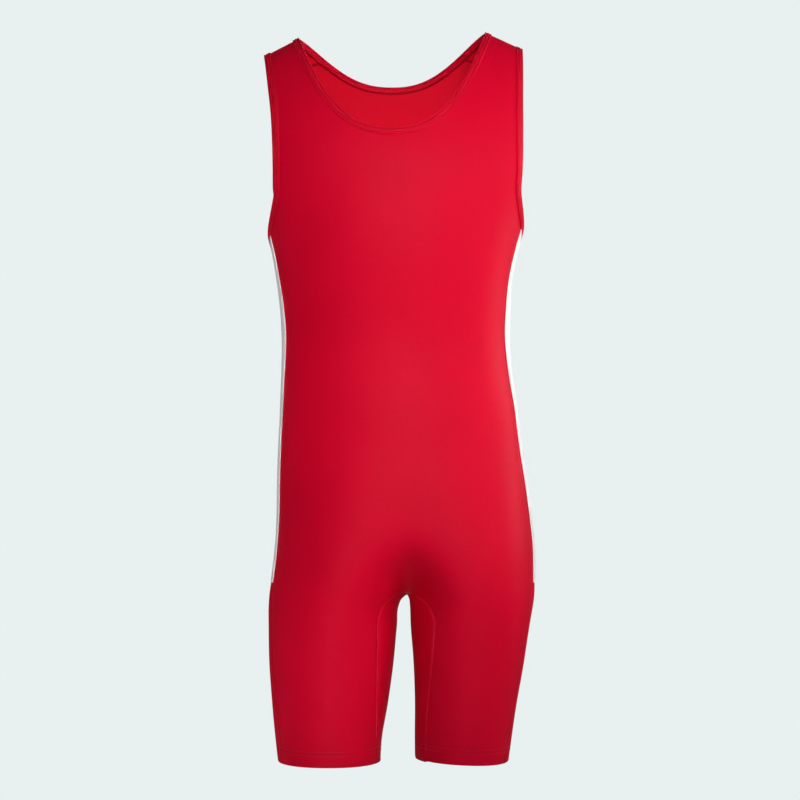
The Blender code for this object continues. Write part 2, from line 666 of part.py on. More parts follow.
def main():
    for obj in list(bpy.data.objects):
        bpy.data.objects.remove(obj)
    collection = bpy.data.collections.new(OBJECT_NAME)
    bpy.context.scene.collection.children.link(collection)
    red = knit("red_polyamide_knit", RED, KNIT_ROUGHNESS)
    white = knit("white_polyamide_knit", WHITE, BAND_ROUGHNESS)

    # The neckline, as one loop: across the front to the left, and back behind to the right.
    neck_front, neck_back = neck_half("front"), neck_half("back")
    neck_edge = joined(neck_front, neck_back[::-1])[:-1]
    neck_line = beside(neck_edge, BINDING_WIDTH)
    half = len(neck_front) // 2
    seam_climb = np.cos(np.radians(SHOULDER_SEAM))
    neck_climb = climb_of(neck_line)
    behind = np.arange(2 * half, len(neck_line))
    left_cut = behind[np.argmax(neck_climb[behind] < seam_climb)]
    right_cut = behind[len(behind) - 1 - np.argmax(neck_climb[behind][::-1] < seam_climb)]
    neck_ways = {
        ("right", "front"): np.arange(right_cut - len(neck_line), half + 1),
        ("left", "front"): np.arange(left_cut, half - 1, -1),
        ("left", "back"): np.arange(left_cut, 3 * half + 1),
        ("right", "back"): np.arange(right_cut, 3 * half - 1, -1),
    }

    neck, arms, seams, gusset_seams, tops = {}, {}, {}, {}, {}
    for side in SIDES:
        loop = armhole_loop(side)
        line = beside(loop, BINDING_WIDTH)
        angle = side_angle(line)
        low = CURVE_SAMPLES + SCOOP_SAMPLES - 2
        reach = seam_offset("front", line[:, 2])
        depth, _ = depth_of(table_at(SECTIONS, SECTION_COLUMNS, line[:, 2]))
        front_end = low - np.argmax((angle > np.arcsin(reach / depth))[low:0:-1])
        reach = seam_offset("back", line[:, 2])
        back_end = low + np.argmax((angle < np.arcsin(reach / depth))[low:])
        climb = climb_of(line)
        cut = len(line) - 1 - np.argmax(climb[::-1] < seam_climb)
        ways = {
            "front": np.arange(cut - len(line), front_end + 1),
            "back": np.arange(cut, back_end - 1, -1),
        }
        for face in FORWARD:
            neck_way = neck_ways[side, face]
            neck[side, face] = stretch(neck_line[neck_way], neck_edge[neck_way], STRAP_ROWS[face])
            steps = STRAP_ROWS[face] + CHEST_ROWS[face]
            arms[side, face] = stretch(line[ways[face]], loop[ways[face]], steps)
            seams[side, face] = side_seam(side, face, arms[side, face][0][-1])
            gusset_seams[side, face] = gusset_seam(side, face)
        under = np.arange(front_end, back_end + 1)
        run = lengths_along(line[under])
        at = np.array(SIDE_STEPS) * run[-1]
        free = np.stack([np.interp(at, run, loop[under, axis]) for axis in range(3)], axis=1)
        tops[side] = (points_at(line[under], at), free)

    for face in FORWARD:
        outer, inner = {}, {}
        line = centre_line(face, neck["right", face][0][-1])
        for side in SIDES:
            outer[side] = joined(arms[side, face][0], seams[side, face])
            inner[side] = joined(neck[side, face][0], line, gusset_seams[side, face])
            inner[side][STRAP_ROWS[face]] = line[0]
        piece(face + "_panel", wall(panel_grids(outer, inner)), red, collection)

    for side in SIDES:
        grid = side_grid(side, seams[side, "front"], seams[side, "back"], tops[side][0])
        piece("side_panel_" + side, wall([grid]), red, collection)
        band = grid[: TRUNK_ROWS + HIP_ROWS + 1, 1:-1]
        body = wall([band], SEAM_GAP + BAND_CLOTH, -SEAM_GAP)
        piece("side_band_" + side, body, white, collection)

    piece("gusset", wall([gusset_grid(gusset_seams)]), red, collection)

    ways = (("right", "front", 1), ("left", "front", -1), ("left", "back", 1), ("right", "back", -1))
    rings = [[part[::step][:-1] for part in neck[side, face]] for side, face, step in ways]
    piece("neck_binding", binding(*map(np.concatenate, zip(*rings))), red, collection)
    for side in SIDES:
        front, under, back = arms[side, "front"], tops[side], arms[side, "back"]
        ring = [
            np.concatenate([front[k][:-1], under[k][:-1], back[k][::-1][:-1]])
            for k in range(2)
        ]
        piece("armhole_binding_" + side, binding(*ring), red, collection)


main()
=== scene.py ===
import bpy
import numpy as np
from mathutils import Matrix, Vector


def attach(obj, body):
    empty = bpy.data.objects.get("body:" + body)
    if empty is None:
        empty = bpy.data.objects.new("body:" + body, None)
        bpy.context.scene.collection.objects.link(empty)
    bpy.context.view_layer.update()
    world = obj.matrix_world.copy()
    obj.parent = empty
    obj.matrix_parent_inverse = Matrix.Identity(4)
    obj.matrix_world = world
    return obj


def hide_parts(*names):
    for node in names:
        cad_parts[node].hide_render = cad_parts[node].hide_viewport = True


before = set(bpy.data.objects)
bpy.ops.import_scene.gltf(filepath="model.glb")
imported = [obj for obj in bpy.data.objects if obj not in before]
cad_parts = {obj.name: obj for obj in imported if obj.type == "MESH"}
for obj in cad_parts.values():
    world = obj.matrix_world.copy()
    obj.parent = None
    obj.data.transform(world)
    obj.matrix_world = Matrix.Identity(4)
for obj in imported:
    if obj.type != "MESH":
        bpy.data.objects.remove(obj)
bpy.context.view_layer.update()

# A weightlifting singlet in satin knit, filled out as when it is worn. Sizes are in millimetres until
# a mesh is made. The front faces -Y and the wearer's left is at +X. The cloth lies on one general
# figure, so every seam and edge is a curve on its surface.

mm = 0.001
sides = ("right", "left")
towards = {"front": -1, "back": 1}


# Camera, lights and floor

studio = {
    "cameraAt": (0.010, -3.4, -0.4517),
    "cameraAim": (0.010, 0, -0.4517),
    "frameWidth": 1.016,  # metres across the picture at the garment
    "backdrop": "E9F0F0",
    "fill": 0.075,  # light from all round
    "floorHeight": -1.55,
    "floorRadius": 3.4, "floorSides": 96,
    "floorFade": 2.2,  # how much of the rim melts into the backdrop
    "floorEnd": 0.99,  # the share of the radius where it is gone
    "floorGlow": 0.58,  # the floor's own light, as a share of the backdrop's
}
lamps = (
    # name, place, aim, width, height, watts, colour, spread of its grid in degrees, mirrored by the cloth
    ("topSoftbox", (0.25, -1.3, 0.45), (0.05, 0, -0.2), 0.8, 0.6, 0.22, "FFFAF6", 60, False),
    ("chestSoftbox", (0.9, -1.1, 0.1), (0.13, 0, -0.2), 0.5, 0.5, 0.085, "FFFCFA", 25, True),
    ("frontSoftbox", (0.1, -1.5, -0.1), (-0.03, 0, -0.33), 0.7, 0.9, 0.84, "FFFCFA", 30, False),
    ("farSoftbox", (0, -3.2, -0.1), (-0.05, 0, -0.4), 1, 1, 0.85, "FFFFFF", 16, True),
    ("legSoftbox", (-0.15, -1.3, -0.75), (-0.1, 0, -0.85), 0.25, 0.25, 0.06, "FFFFFF", 14, False),
    ("rightSoftbox", (1.1, -0.9, -0.2), (0.1, 0, -0.35), 0.6, 0.9, 6.9, "FFF8F4", 180, True),
    ("rightEdgeSoftbox", (1.5, 0.5, -0.02), (0.05, 0, -0.18), 0.5, 0.8, 2.1, "FFFCFA", 60, True),
    ("leftSoftbox", (-2.5, 0.9, -0.2), (0, 0, -0.4), 0.8, 1.6, 19, "FFFAF6", 180, False),
    ("backSoftbox", (0.4, 3, 0.2), (0, 0, -0.45), 1.6, 1.6, 34, "FFFFFF", 180, True),
)


def linearFromHex(code):
    parts = [int(code[i:i + 2], 16) / 255 for i in (0, 2, 4)]
    return tuple(p / 12.92 if p <= 0.04045 else ((p + 0.055) / 1.055) ** 2.4 for p in parts) + (1,)


def feed(tree, node, inputs):
    # inputs maps a socket's name or number to a value, or to the socket or node that feeds it
    for key, value in inputs.items():
        if isinstance(value, bpy.types.Node):
            value = value.outputs[0]
        if isinstance(value, bpy.types.NodeSocket):
            tree.links.new(value, node.inputs[key])
        else:
            node.inputs[key].default_value = value


def addNode(tree, kind, settings=None, inputs=None):
    node = tree.nodes.new("ShaderNode" + kind)
    for key, value in (settings or {}).items():
        setattr(node, key, value)
    feed(tree, node, inputs or {})
    return node


def standAt(name, data, place, aim):
    obj = bpy.data.objects.new(name, data)
    bpy.context.scene.collection.objects.link(obj)
    obj.location = place
    obj.rotation_euler = (Vector(aim) - Vector(place)).to_track_quat("-Z", "Y").to_euler()
    return obj


def buildStudio():
    scene = bpy.context.scene
    scene.view_settings.view_transform = "Standard"
    cameraData = bpy.data.cameras.new("photoCamera")
    scene.camera = standAt("photoCamera", cameraData, studio["cameraAt"], studio["cameraAim"])
    distance = (Vector(studio["cameraAim"]) - Vector(studio["cameraAt"])).length
    cameraData.lens = cameraData.sensor_width * distance / studio["frameWidth"]

    world = bpy.data.worlds.new("paleStudio")
    scene.world = world
    world.use_nodes = True
    tree = world.node_tree
    tree.nodes.clear()
    seen = linearFromHex(studio["backdrop"])
    lit = tuple(channel * studio["fill"] for channel in seen[:3]) + (1,)
    path = addNode(tree, "LightPath")
    shown = addNode(tree, "Background", inputs={"Color": seen})
    around = addNode(tree, "Background", inputs={"Color": lit})
    mix = addNode(tree, "MixShader", inputs={0: path.outputs["Is Camera Ray"], 1: around, 2: shown})
    addNode(tree, "OutputWorld", inputs={"Surface": mix})

    for name, place, aim, width, height, power, tint, spread, mirrored in lamps:
        data = bpy.data.lights.new(name, "AREA")
        data.shape = "RECTANGLE"
        data.size, data.size_y = width, height
        data.energy = power
        data.spread = np.radians(spread)
        data.color = linearFromHex(tint)[:3]
        standAt(name, data, place, aim).visible_glossy = mirrored

    bpy.ops.object.select_all(action="DESELECT")
    bpy.ops.mesh.primitive_circle_add(vertices=studio["floorSides"], radius=studio["floorRadius"],
                                      fill_type="NGON", location=(0, 0, studio["floorHeight"]))
    floor = bpy.context.object
    floor.name = "studioFloor"
    # Pale matt paint, seen as bright as the backdrop. It melts into it at the rim and from below.
    paint = bpy.data.materials.new("mattFloorPaint")
    paint.use_nodes = True
    tree = paint.node_tree
    tree.nodes.clear()
    place = addNode(tree, "TexCoord")
    reach = addNode(tree, "VectorMath", {"operation": "LENGTH"}, {0: place.outputs["Object"]})
    fade = addNode(tree, "MapRange", {"interpolation_type": "SMOOTHSTEP"},
                   {"Value": reach.outputs["Value"],
                    "From Min": studio["floorRadius"] - studio["floorFade"],
                    "From Max": studio["floorRadius"] * studio["floorEnd"]})
    side = addNode(tree, "NewGeometry")
    gone = addNode(tree, "Math", {"operation": "MAXIMUM"}, {0: fade, 1: side.outputs["Backfacing"]})
    path = addNode(tree, "LightPath")
    glow = addNode(tree, "Math", {"operation": "MULTIPLY"},
                   {0: path.outputs["Is Camera Ray"], 1: studio["floorGlow"]})
    lift = addNode(tree, "Emission", inputs={"Color": seen, "Strength": glow})
    coat = addNode(tree, "BsdfDiffuse", inputs={"Color": seen})
    solid = addNode(tree, "AddShader", inputs={0: lift, 1: coat})
    clear = addNode(tree, "BsdfTransparent")
    mix = addNode(tree, "MixShader", inputs={0: gone, 1: solid, 2: clear})
    addNode(tree, "OutputMaterial", inputs={"Surface": mix})
    floor.data.materials.append(paint)


buildStudio()
print("studio ready")


# The figure that the cloth lies on, as level sections. right and left are its sides, and the mid
# columns are where each half is deepest. The inner columns are one line down to the crotch, and
# below it the inner sides of the legs.

figureColumns = ("right", "rightMid", "rightInner", "leftInner", "leftMid", "left", "front", "back")
figureRows = (
    # height, then the columns
    (20, -200, 0, 0, 0, 0, 202, -95, 95),
    (-60, -198, 0, 0, 0, 0, 203, -108, 99),
    (-120, -192, 2, 2, 2, 2, 201, -120, 107),
    (-160, -184, 3.5, 3.5, 3.5, 3.5, 194, -126, 108),
    (-200, -171, 4.5, 4.5, 4.5, 4.5, 180, -127, 106),
    (-230, -160.5, 4.5, 4.5, 4.5, 4.5, 168, -126, 103),
    (-262, -152, 4.5, 4.5, 4.5, 4.5, 158.5, -124, 100),
    (-299, -145.5, 4.5, 4.5, 4.5, 4.5, 151, -119, 97),
    (-341, -140.8, 5.5, 5.5, 5.5, 5.5, 148.2, -112, 94),
    (-380, -138.8, 6, 6, 6, 6, 148, -107, 92.5),
    (-420, -139.5, 7, 7, 7, 7, 151.2, -106, 93),
    (-464, -141.5, 9, 9, 9, 9, 158.5, -108, 99),
    (-510, -144, 6.5, 10.5, 10.5, 14.5, 164.5, -110, 108),
    (-560, -145.5, -8, 14, 14, 36, 172.2, -111, 119),
    (-600, -146, -26, 16, 16, 58, 177.3, -110.5, 126),
    (-640, -148.5, -45, 18, 18, 81, 180.8, -109, 127),
    (-675, -152.5, -60, 19, 19, 94, 180.9, -106, 121),
    (-698.6, -155.6, -67.5, 19, 19, 99, 180.5, -103, 112),
    (-704, -156, -69, 12.5, 21.5, 99.5, 180, -102.3, 110),
    (-712, -156.4, -71, 8.8, 22.5, 100, 178.8, -101, 107),
    (-737, -156.3, -74.5, 6.5, 23.5, 99.2, 174.5, -98, 97),
    (-783, -155.6, -76.7, 2.3, 27, 97.5, 167.2, -92, 87),
    (-833, -152, -78.7, -4.8, 29.2, 94, 158.2, -86, 79),
    (-885, -147.2, -80.4, -13.2, 29.2, 90.2, 150.8, -79.5, 72),
    (-915, -144, -79.5, -14.7, 29.4, 88.3, 146.6, -77, 69),
)
figure = {
    "sidePower": 2.25,
    "crotch": -698.6,
    "crotchSlope": 0.008,
    "crotchSwell": 0.00015,
    "thighPower": 2.6,
    "legRound": (-705, -790),  # where the inner thigh becomes round
    "shoulderBase": -150,
    "ridgeTop": 81.5,
    "ridgeFall": 0.535,
    "ridgeRound": 60,
    "ridgeTilt": 0.03,
}


def tableAt(rows, columns, heights):
    # Every column of a table at these heights, on a smooth curve through its rows.
    data = np.array(sorted(rows), float)
    levels = data[:, 0]
    slopes = np.gradient(data[:, 1:], levels, axis=0)
    heights = np.clip(np.atleast_1d(heights), levels[0], levels[-1])
    below = np.clip(np.searchsorted(levels, heights, side="right") - 1, 0, len(levels) - 2)
    step = (levels[below + 1] - levels[below])[:, None]
    part = (heights[:, None] - levels[below][:, None]) / step
    rest = 1 - part
    values = (1 + 2 * part) * rest**2 * data[below, 1:] + part * rest**2 * step * slopes[below]
    values += part**2 * (3 - 2 * part) * data[below + 1, 1:]
    values -= part**2 * rest * step * slopes[below + 1]
    return dict(zip(columns, values.T))


def ease(value, start, end):
    part = np.clip((value - start) / (end - start), 0, 1)
    return part**2 * (3 - 2 * part)


def unit(vectors):
    return vectors / np.linalg.norm(vectors, axis=-1, keepdims=True)


def lengthsAlong(curve):
    return np.concatenate([[0], np.cumsum(np.linalg.norm(np.diff(curve, axis=0), axis=1))])


def valuesAt(lengths, run, curve):
    return np.stack([np.interp(lengths, run, curve[:, axis]) for axis in range(3)], axis=1)


def pointsAt(curve, lengths):
    return valuesAt(lengths, lengthsAlong(curve), curve)


def evenly(curve, steps):
    return pointsAt(curve, np.linspace(0, lengthsAlong(curve)[-1], steps + 1))


def joined(*curves):
    return np.concatenate([curves[0]] + [curve[1:] for curve in curves[1:]])


def closedUp(curve):
    return np.concatenate([curve, curve[:1]])


def figureAt(z):
    return tableAt(figureRows, figureColumns, z)


def depthOf(row):
    return (row["back"] - row["front"]) / 2, (row["back"] + row["front"]) / 2


def depthAt(z):
    return depthOf(figureAt(z))


def ridgeHeight(x):
    rise = figure["ridgeFall"] * np.sqrt(x**2 + figure["ridgeRound"] ** 2)
    return figure["ridgeTop"] - rise + figure["ridgeTilt"] * x


def climbOf(points):
    base = figure["shoulderBase"]
    return (points[:, 2] - base) / (ridgeHeight(points[:, 0]) - base)


def thighFall(part):
    return 1 - (1 - np.abs(part) ** figure["thighPower"]) ** 2


def fullness(x, z):
    # The section's depth here, squared: 1 at its middle, 0 at its outline.
    row = figureAt(z)
    between = (row["rightInner"] + row["leftInner"]) / 2
    middle, outside, inside = (
        np.where(x < between, row["right" + part], row["left" + part]) for part in ("Mid", "", "Inner"))
    outerPart = (x - middle) / (outside - middle)
    outer = 1 - np.abs(outerPart) ** figure["sidePower"]
    apart = between - middle
    apart = np.where(np.abs(apart) < 1e-6, 1e-6, apart)
    innerPart = np.clip((x - middle) / apart, 0, 1)
    innerEdge = np.clip((inside - middle) / apart, 0.01, 1)
    above = np.maximum(z - figure["crotch"], 0)
    rise = figure["crotchSlope"] * above + figure["crotchSwell"] * above**2
    bridge = rise / (1 + rise**4) ** 0.25
    trunk = 1 - (1 - bridge) * thighFall(innerPart)
    cleft = 1 - thighFall(innerPart) / thighFall(innerEdge)
    leg = 1 - np.abs(innerPart / innerEdge) ** figure["sidePower"]
    inner = np.where(z > figure["crotch"], trunk, cleft + (leg - cleft) * ease(z, *figure["legRound"]))
    share = np.where(outerPart >= 0, outer, inner)
    base = figure["shoulderBase"]
    climb = np.maximum(z - base, 0) / (ridgeHeight(x) - base)
    return share * (1 - np.abs(climb) * climb), row


def outsideFigure(points):
    share, row = fullness(points[:, 0], points[:, 2])
    depth, centre = depthOf(row)
    return ((points[:, 1] - centre) / depth) ** 2 - share


def slopeOfFigure(points, step=0.05):
    slope = np.empty_like(points)
    for axis in range(3):
        shift = np.zeros(3)
        shift[axis] = step
        slope[:, axis] = (outsideFigure(points + shift) - outsideFigure(points - shift)) / (2 * step)
    return slope


def normalsOf(points, step=0.05):
    flat = points.reshape(-1, 3)
    return unit(slopeOfFigure(flat, step)).reshape(points.shape)


def settle(points):
    # Moves points that lie near the figure onto it.
    flat = points.reshape(-1, 3)
    for _ in range(4):
        slope = slopeOfFigure(flat)
        flat = flat - slope * (outsideFigure(flat) / (slope**2).sum(axis=1))[:, None]
    return flat.reshape(points.shape)


def onFrontOrBack(x, z, toward):
    x, z = np.asarray(x, float), np.asarray(z, float)
    share, row = fullness(x, z)
    depth, centre = depthOf(row)
    return np.stack([x, centre + toward * depth * np.sqrt(np.maximum(share, 0)), z], axis=1)


def atAngle(side, angle, z):
    # The point of a side of the figure at this angle ahead of its side line.
    row = figureAt(z)
    depth, centre = depthOf(row)
    middle = row[side + "Mid"]
    reach = np.cos(angle) ** (2 / figure["sidePower"])
    return np.stack([middle + (row[side] - middle) * reach, centre - depth * np.sin(angle), z], axis=1)


def cast(starts, directions, stride=4, farthest=400, halvings=30):
    # Where rays from inside the figure come out of it.
    low, high = np.zeros(len(starts)), np.zeros(len(starts))
    for reach in np.arange(stride, farthest, stride):
        outside = outsideFigure(starts + directions * reach) > 0
        found = outside & (high == 0)
        high[found], low[found] = reach, reach - stride
        if high.all():
            break
    for _ in range(halvings):
        middle = (low + high) / 2
        outside = outsideFigure(starts + directions * middle[:, None]) > 0
        high, low = np.where(outside, middle, high), np.where(outside, low, middle)
    return starts + directions * high[:, None]


def rowsBetween(starts, ends, axes, shares):
    # Rows of points over the figure, each from its start to its end, seen from its axis point.
    first, last = unit(starts - axes), unit(ends - axes)
    sweep = np.arccos(np.clip((first * last).sum(axis=1), -1, 1))[:, None]
    turned = [np.sin((1 - s) * sweep) * first + np.sin(s * sweep) * last for s in shares[1:-1]]
    rays = unit(np.concatenate(turned))
    inner = cast(np.tile(axes, (len(turned), 1)), rays).reshape(len(turned), -1, 3)
    return np.concatenate([starts[None], inner, ends[None]]).transpose(1, 0, 2)


# Seams and edges

neckCut = {
    "halfWidth": 118,
    "front": -116.6, "frontPower": 2.6,
    "back": -45.2, "backPower": 2.4, "backRound": 1.5,
    "shoulderSeam": 38,  # degrees behind the ridge
}
edgeColumns = ("rightFront", "leftFront", "rightBack", "leftBack")
armholeRows = (
    # height, and how far out each upright edge runs
    (-5, -163.5, 165, -163.5, 165),
    (-47, -155.5, 164, -160, 164),
    (-78, -150, 163.2, -157, 162.5),
    (-122, -147.2, 162.6, -155, 161.5),
    (-165, -146, 161.8, -154, 160),
    (-195, -146.5, 160, -153.5, 158.5),
)
armholeCut = {
    "corner": {"right": -163.5, "left": 165},
    "scoopTop": -182,
    "scoopBottom": {"right": -256, "left": -248},
    "lowestAngle": -12,
    "scoopPower": 1.5,
    "kinkReach": 5,  # how far the corners of the cut are rounded
    "lineReach": 2.5,
}
sideSeamColumns = ("front", "back")
sideSeamRows = (
    # height, how far ahead of and behind the side line the seams lie
    (-200, 27, 27),
    (-300, 30, 28),
    (-360, 34, 30),
    (-430, 28, 30),
    (-500, 30, 32),
    (-580, 34, 34),
    (-700, 36, 34),
    (-915, 38, 30),
)
gussetRows = (
    # height, and where each seam runs
    (-731, -17.5, 53.5, -18, 52),
    (-783, -18.2, 49.5, -22, 46),
    (-850, -19.2, 43.5, -26, 38.5),
    (-915, -19.4, 41.8, -29, 34),
)
gussetCut = {"archTop": -695.4, "archFoot": -731, "axisRise": 80, "axisPace": 0.5}
hemCut = {
    "height": {"right": -909, "left": -903},
    "slope": {"right": 0, "left": -0.045},
    "slopeFrom": 31.4,
    "depth": 21,
    "needles": (20, 15),  # the two rows of stitches, up from the fold
    "needleRows": (-0.9, 0, 0.9),  # cloth rows that make the dent of one row of stitches
}
# How far above the hem's edge the last cloth rows of every panel lie.
hemOffsets = np.array([27, 23.5, 21.4, *(
    needle - row for needle in hemCut["needles"] for row in hemCut["needleRows"]), 12, 8, 4, 1.6, 0])
hemRows = len(hemOffsets)
fineness = {
    "strap": {"front": 64, "back": 40},
    "chest": {"front": 16, "back": 28},
    "trunk": 84, "hip": 10, "thigh": 50, "arch": 34, "leg": 26,
    "panel": 44, "side": 16, "gusset": 30,
    "curve": 400, "scoop": 120,
}
chestRows = {face: fineness["strap"][face] + fineness["chest"][face] for face in towards}
bodyLevels = {"chest": -215, "hipTop": -640, "bandEnd": -682, "approach": -600,
              "strapAxis": -100, "strapAxisShift": 0.75}


def camel(side, face):
    return side + face.capitalize()


def beside(curve, width):
    # The line this far inside a closed edge, point for point.
    along = unit(np.roll(curve, -1, axis=0) - np.roll(curve, 1, axis=0))
    across = np.cross(normalsOf(curve), along)
    if ((curve - curve.mean(axis=0)) * across).sum() < 0:
        across = -across
    return settle(curve + across * width)


def smoothed(curve, reach, step=0.5):
    # A closed curve with its kinks rounded over this length, point for point.
    run = lengthsAlong(closedUp(curve))
    count = int(run[-1] / step)
    at = np.arange(count + 1) * run[-1] / count
    even = pointsAt(closedUp(curve), at[:-1])
    shifts = np.arange(-int(3 * reach / step), int(3 * reach / step) + 1)
    weights = np.exp(-0.5 * (shifts * step / reach) ** 2)
    even = sum(w * np.roll(even, k, axis=0) for w, k in zip(weights, shifts)) / weights.sum()
    return settle(valuesAt(run[:-1], at, closedUp(even)))


def hemAt(side, x):
    return hemCut["height"][side] + hemCut["slope"][side] * (x - hemCut["slopeFrom"])


def neckHalf(face):
    share = np.sin(np.linspace(-np.pi / 2, np.pi / 2, 2 * fineness["curve"] + 1))
    if face == "front":
        rise = np.abs(share) ** neckCut["frontPower"]
    else:
        rise = 1 - (1 - np.abs(share) ** neckCut["backPower"]) ** neckCut["backRound"]
    width = neckCut["halfWidth"]
    rim = ridgeHeight(np.sign(share) * width)
    return onFrontOrBack(share * width, neckCut[face] + (rim - neckCut[face]) * rise, towards[face])


def armholeLoop(side):
    # The free edge of an armhole: from the ridge down its front, under the arm and up its back.
    top = float(ridgeHeight(np.array(armholeCut["corner"][side])))
    scoopTop = armholeCut["scoopTop"]
    z = top + (scoopTop - top) * np.linspace(0, 1, fineness["curve"]) ** 2
    table = tableAt(armholeRows, edgeColumns, z)
    front, back = (onFrontOrBack(table[camel(side, face)], z, toward) for face, toward in towards.items())
    depth, centre = depthAt(scoopTop)
    lowest = np.radians(armholeCut["lowestAngle"])
    share = np.sin(np.linspace(1, 0, fineness["scoop"]) * np.pi / 2)
    power = armholeCut["scoopPower"]
    z = scoopTop + (armholeCut["scoopBottom"][side] - scoopTop) * (1 - share**power) ** (1 / power)
    scoops = []
    for upright in (front, back):
        angle = np.arcsin((centre[0] - upright[-1, 1]) / depth[0])
        scoops.append(atAngle(side, lowest + (angle - lowest) * share, z))
    return joined(front, scoops[0], scoops[1][::-1], back[::-1])[:-1]


def stretch(line, edge, steps):
    # Evenly spaced points of a bound panel edge, each with its point of the free edge.
    run = lengthsAlong(line)
    at = np.linspace(0, run[-1], steps + 1)
    return pointsAt(line, at), valuesAt(at, run, edge)


def seamOffset(face, z):
    return -towards[face] * tableAt(sideSeamRows, sideSeamColumns, z)[face]


def sideAngle(points):
    depth, centre = depthAt(points[:, 2])
    return np.arcsin(np.clip((centre - points[:, 1]) / depth, -1, 1))


def sideSeam(side, face, top):
    # A side seam from the armhole's panel edge to the hem.
    hem = hemAt(side, figureAt(hemCut["height"][side])[side][0])
    ends = (top[2], bodyLevels["hipTop"], bodyLevels["bandEnd"], hem + hemOffsets[0])
    parts = [np.linspace(start, end, fineness[part] + 1)
             for start, end, part in zip(ends, ends[1:], ("trunk", "hip", "thigh"))]
    z = joined(*parts, hem + hemOffsets)
    depth, _ = depthAt(z)
    seam = atAngle(side, np.arcsin(seamOffset(face, z) / depth), z)
    seam[0] = top
    return seam


def gussetX(side, face, z):
    return tableAt(gussetRows, edgeColumns, z)[camel(side, face)]


def apexOf(face):
    return sum(gussetX(side, face, gussetCut["archFoot"])[0] for side in sides) / 2


def centreLine(face, top):
    # The line down the middle of a panel, from the neckline to the gusset.
    z = np.linspace(top[2], gussetCut["archTop"], 2 * fineness["curve"])
    row = figureAt(z)
    x = (row["rightInner"] + row["leftInner"]) / 2
    x = x + (apexOf(face) - x) * ease(z, bodyLevels["approach"], gussetCut["archTop"])
    x[0] = top[0]
    x = x + (top[0] - x) * ease(z, bodyLevels["chest"], top[2])
    line = onFrontOrBack(x, z, towards[face])
    line[0] = top
    chest = line[z >= bodyLevels["chest"]]
    trunk = line[len(chest) - 1:]
    return joined(evenly(chest, fineness["chest"][face]), evenly(trunk, fineness["trunk"]))


def gussetSeam(side, face):
    # A seam of the gusset, from its top over the crotch to the hem of one leg.
    apex = apexOf(face)
    span = gussetX(side, face, gussetCut["archFoot"])[0] - apex
    turn = np.linspace(0, np.pi / 2, fineness["arch"] + 1)
    archX = apex + span * np.sin(turn)
    archZ = gussetCut["archFoot"] + (gussetCut["archTop"] - gussetCut["archFoot"]) * np.cos(turn)
    hem = hemAt(side, gussetX(side, face, hemCut["height"][side])[0])
    legZ = np.linspace(gussetCut["archFoot"], hem + hemOffsets[0], fineness["leg"] + 1)
    legZ = joined(legZ, hem + hemOffsets)[1:]
    x, z = np.concatenate([archX, gussetX(side, face, legZ)]), np.concatenate([archZ, legZ])
    return onFrontOrBack(x, z, towards[face])


def axesFor(side, starts, ends):
    middle = (starts + ends) / 2
    z = np.minimum(middle[:, 2], bodyLevels["strapAxis"])
    row = figureAt(z)
    _, centre = depthOf(row)
    aside = bodyLevels["strapAxisShift"] * ease(middle[:, 2], figure["shoulderBase"], 0)
    x = row[side + "Mid"] + (middle[:, 0] - row[side + "Mid"]) * aside
    return np.stack([x, centre, z], axis=1)


bindingCut = {
    "width": 8,
    "cutShare": 0.95,  # cut a little short, so it holds the opening
    "seamNeedle": 1.6,  # the rows of stitches, across from the panel's edge
    "edgeNeedle": 5.7,
    "profile": (
        # across, out: over the panel's edge, along the outside, round the fold and back
        (-0.5, -0.3), (-0.8, 0.25), (-0.95, 0.75), (-0.6, 1.2), (0.1, 1.4), (0.8, 1.3), (1.2, 1),
        (1.6, 0.75), (2, 1), (2.5, 1.35), (3.4, 1.5), (4.5, 1.4), (5.1, 1.1), (5.45, 0.6),
        (5.7, 0.35), (5.95, 0.6), (6.25, 1.15), (6.7, 1.5), (7.25, 1.45), (7.75, 1.05), (8, 0.45),
        (8.05, -0.35), (7.9, -1.2), (7.5, -1.8), (6.9, -2.1), (6.25, -2), (5.95, -1.7), (5.7, -1.55),
        (5.4, -1.75), (4.9, -2.15), (4, -2.35), (2.6, -2.4), (1.4, -2.35), (0.4, -2.5), (-0.4, -2.35),
        (-0.8, -1.8), (-0.6, -1.3),
    ),
}

neckEdge = joined(neckHalf("front"), neckHalf("back")[::-1])[:-1]
neckLine = beside(neckEdge, bindingCut["width"])
seamClimb = np.cos(np.radians(neckCut["shoulderSeam"]))
half = fineness["curve"]
behind = np.arange(2 * half, len(neckLine))
neckClimb = climbOf(neckLine)[behind]
leftCut = behind[np.argmax(neckClimb < seamClimb)]
rightCut = behind[len(behind) - 1 - np.argmax(neckClimb[::-1] < seamClimb)]
neckWays = {
    ("right", "front"): np.arange(rightCut - len(neckLine), half + 1),
    ("left", "front"): np.arange(leftCut, half - 1, -1),
    ("left", "back"): np.arange(leftCut, 3 * half + 1),
    ("right", "back"): np.arange(rightCut, 3 * half - 1, -1),
}
bandInset = 0.04
sideSteps = np.concatenate([[0], np.linspace(bandInset, 1 - bandInset, fineness["side"] - 1), [1]])
neck, arms, sideSeams, gussetSeams, underArms = {}, {}, {}, {}, {}
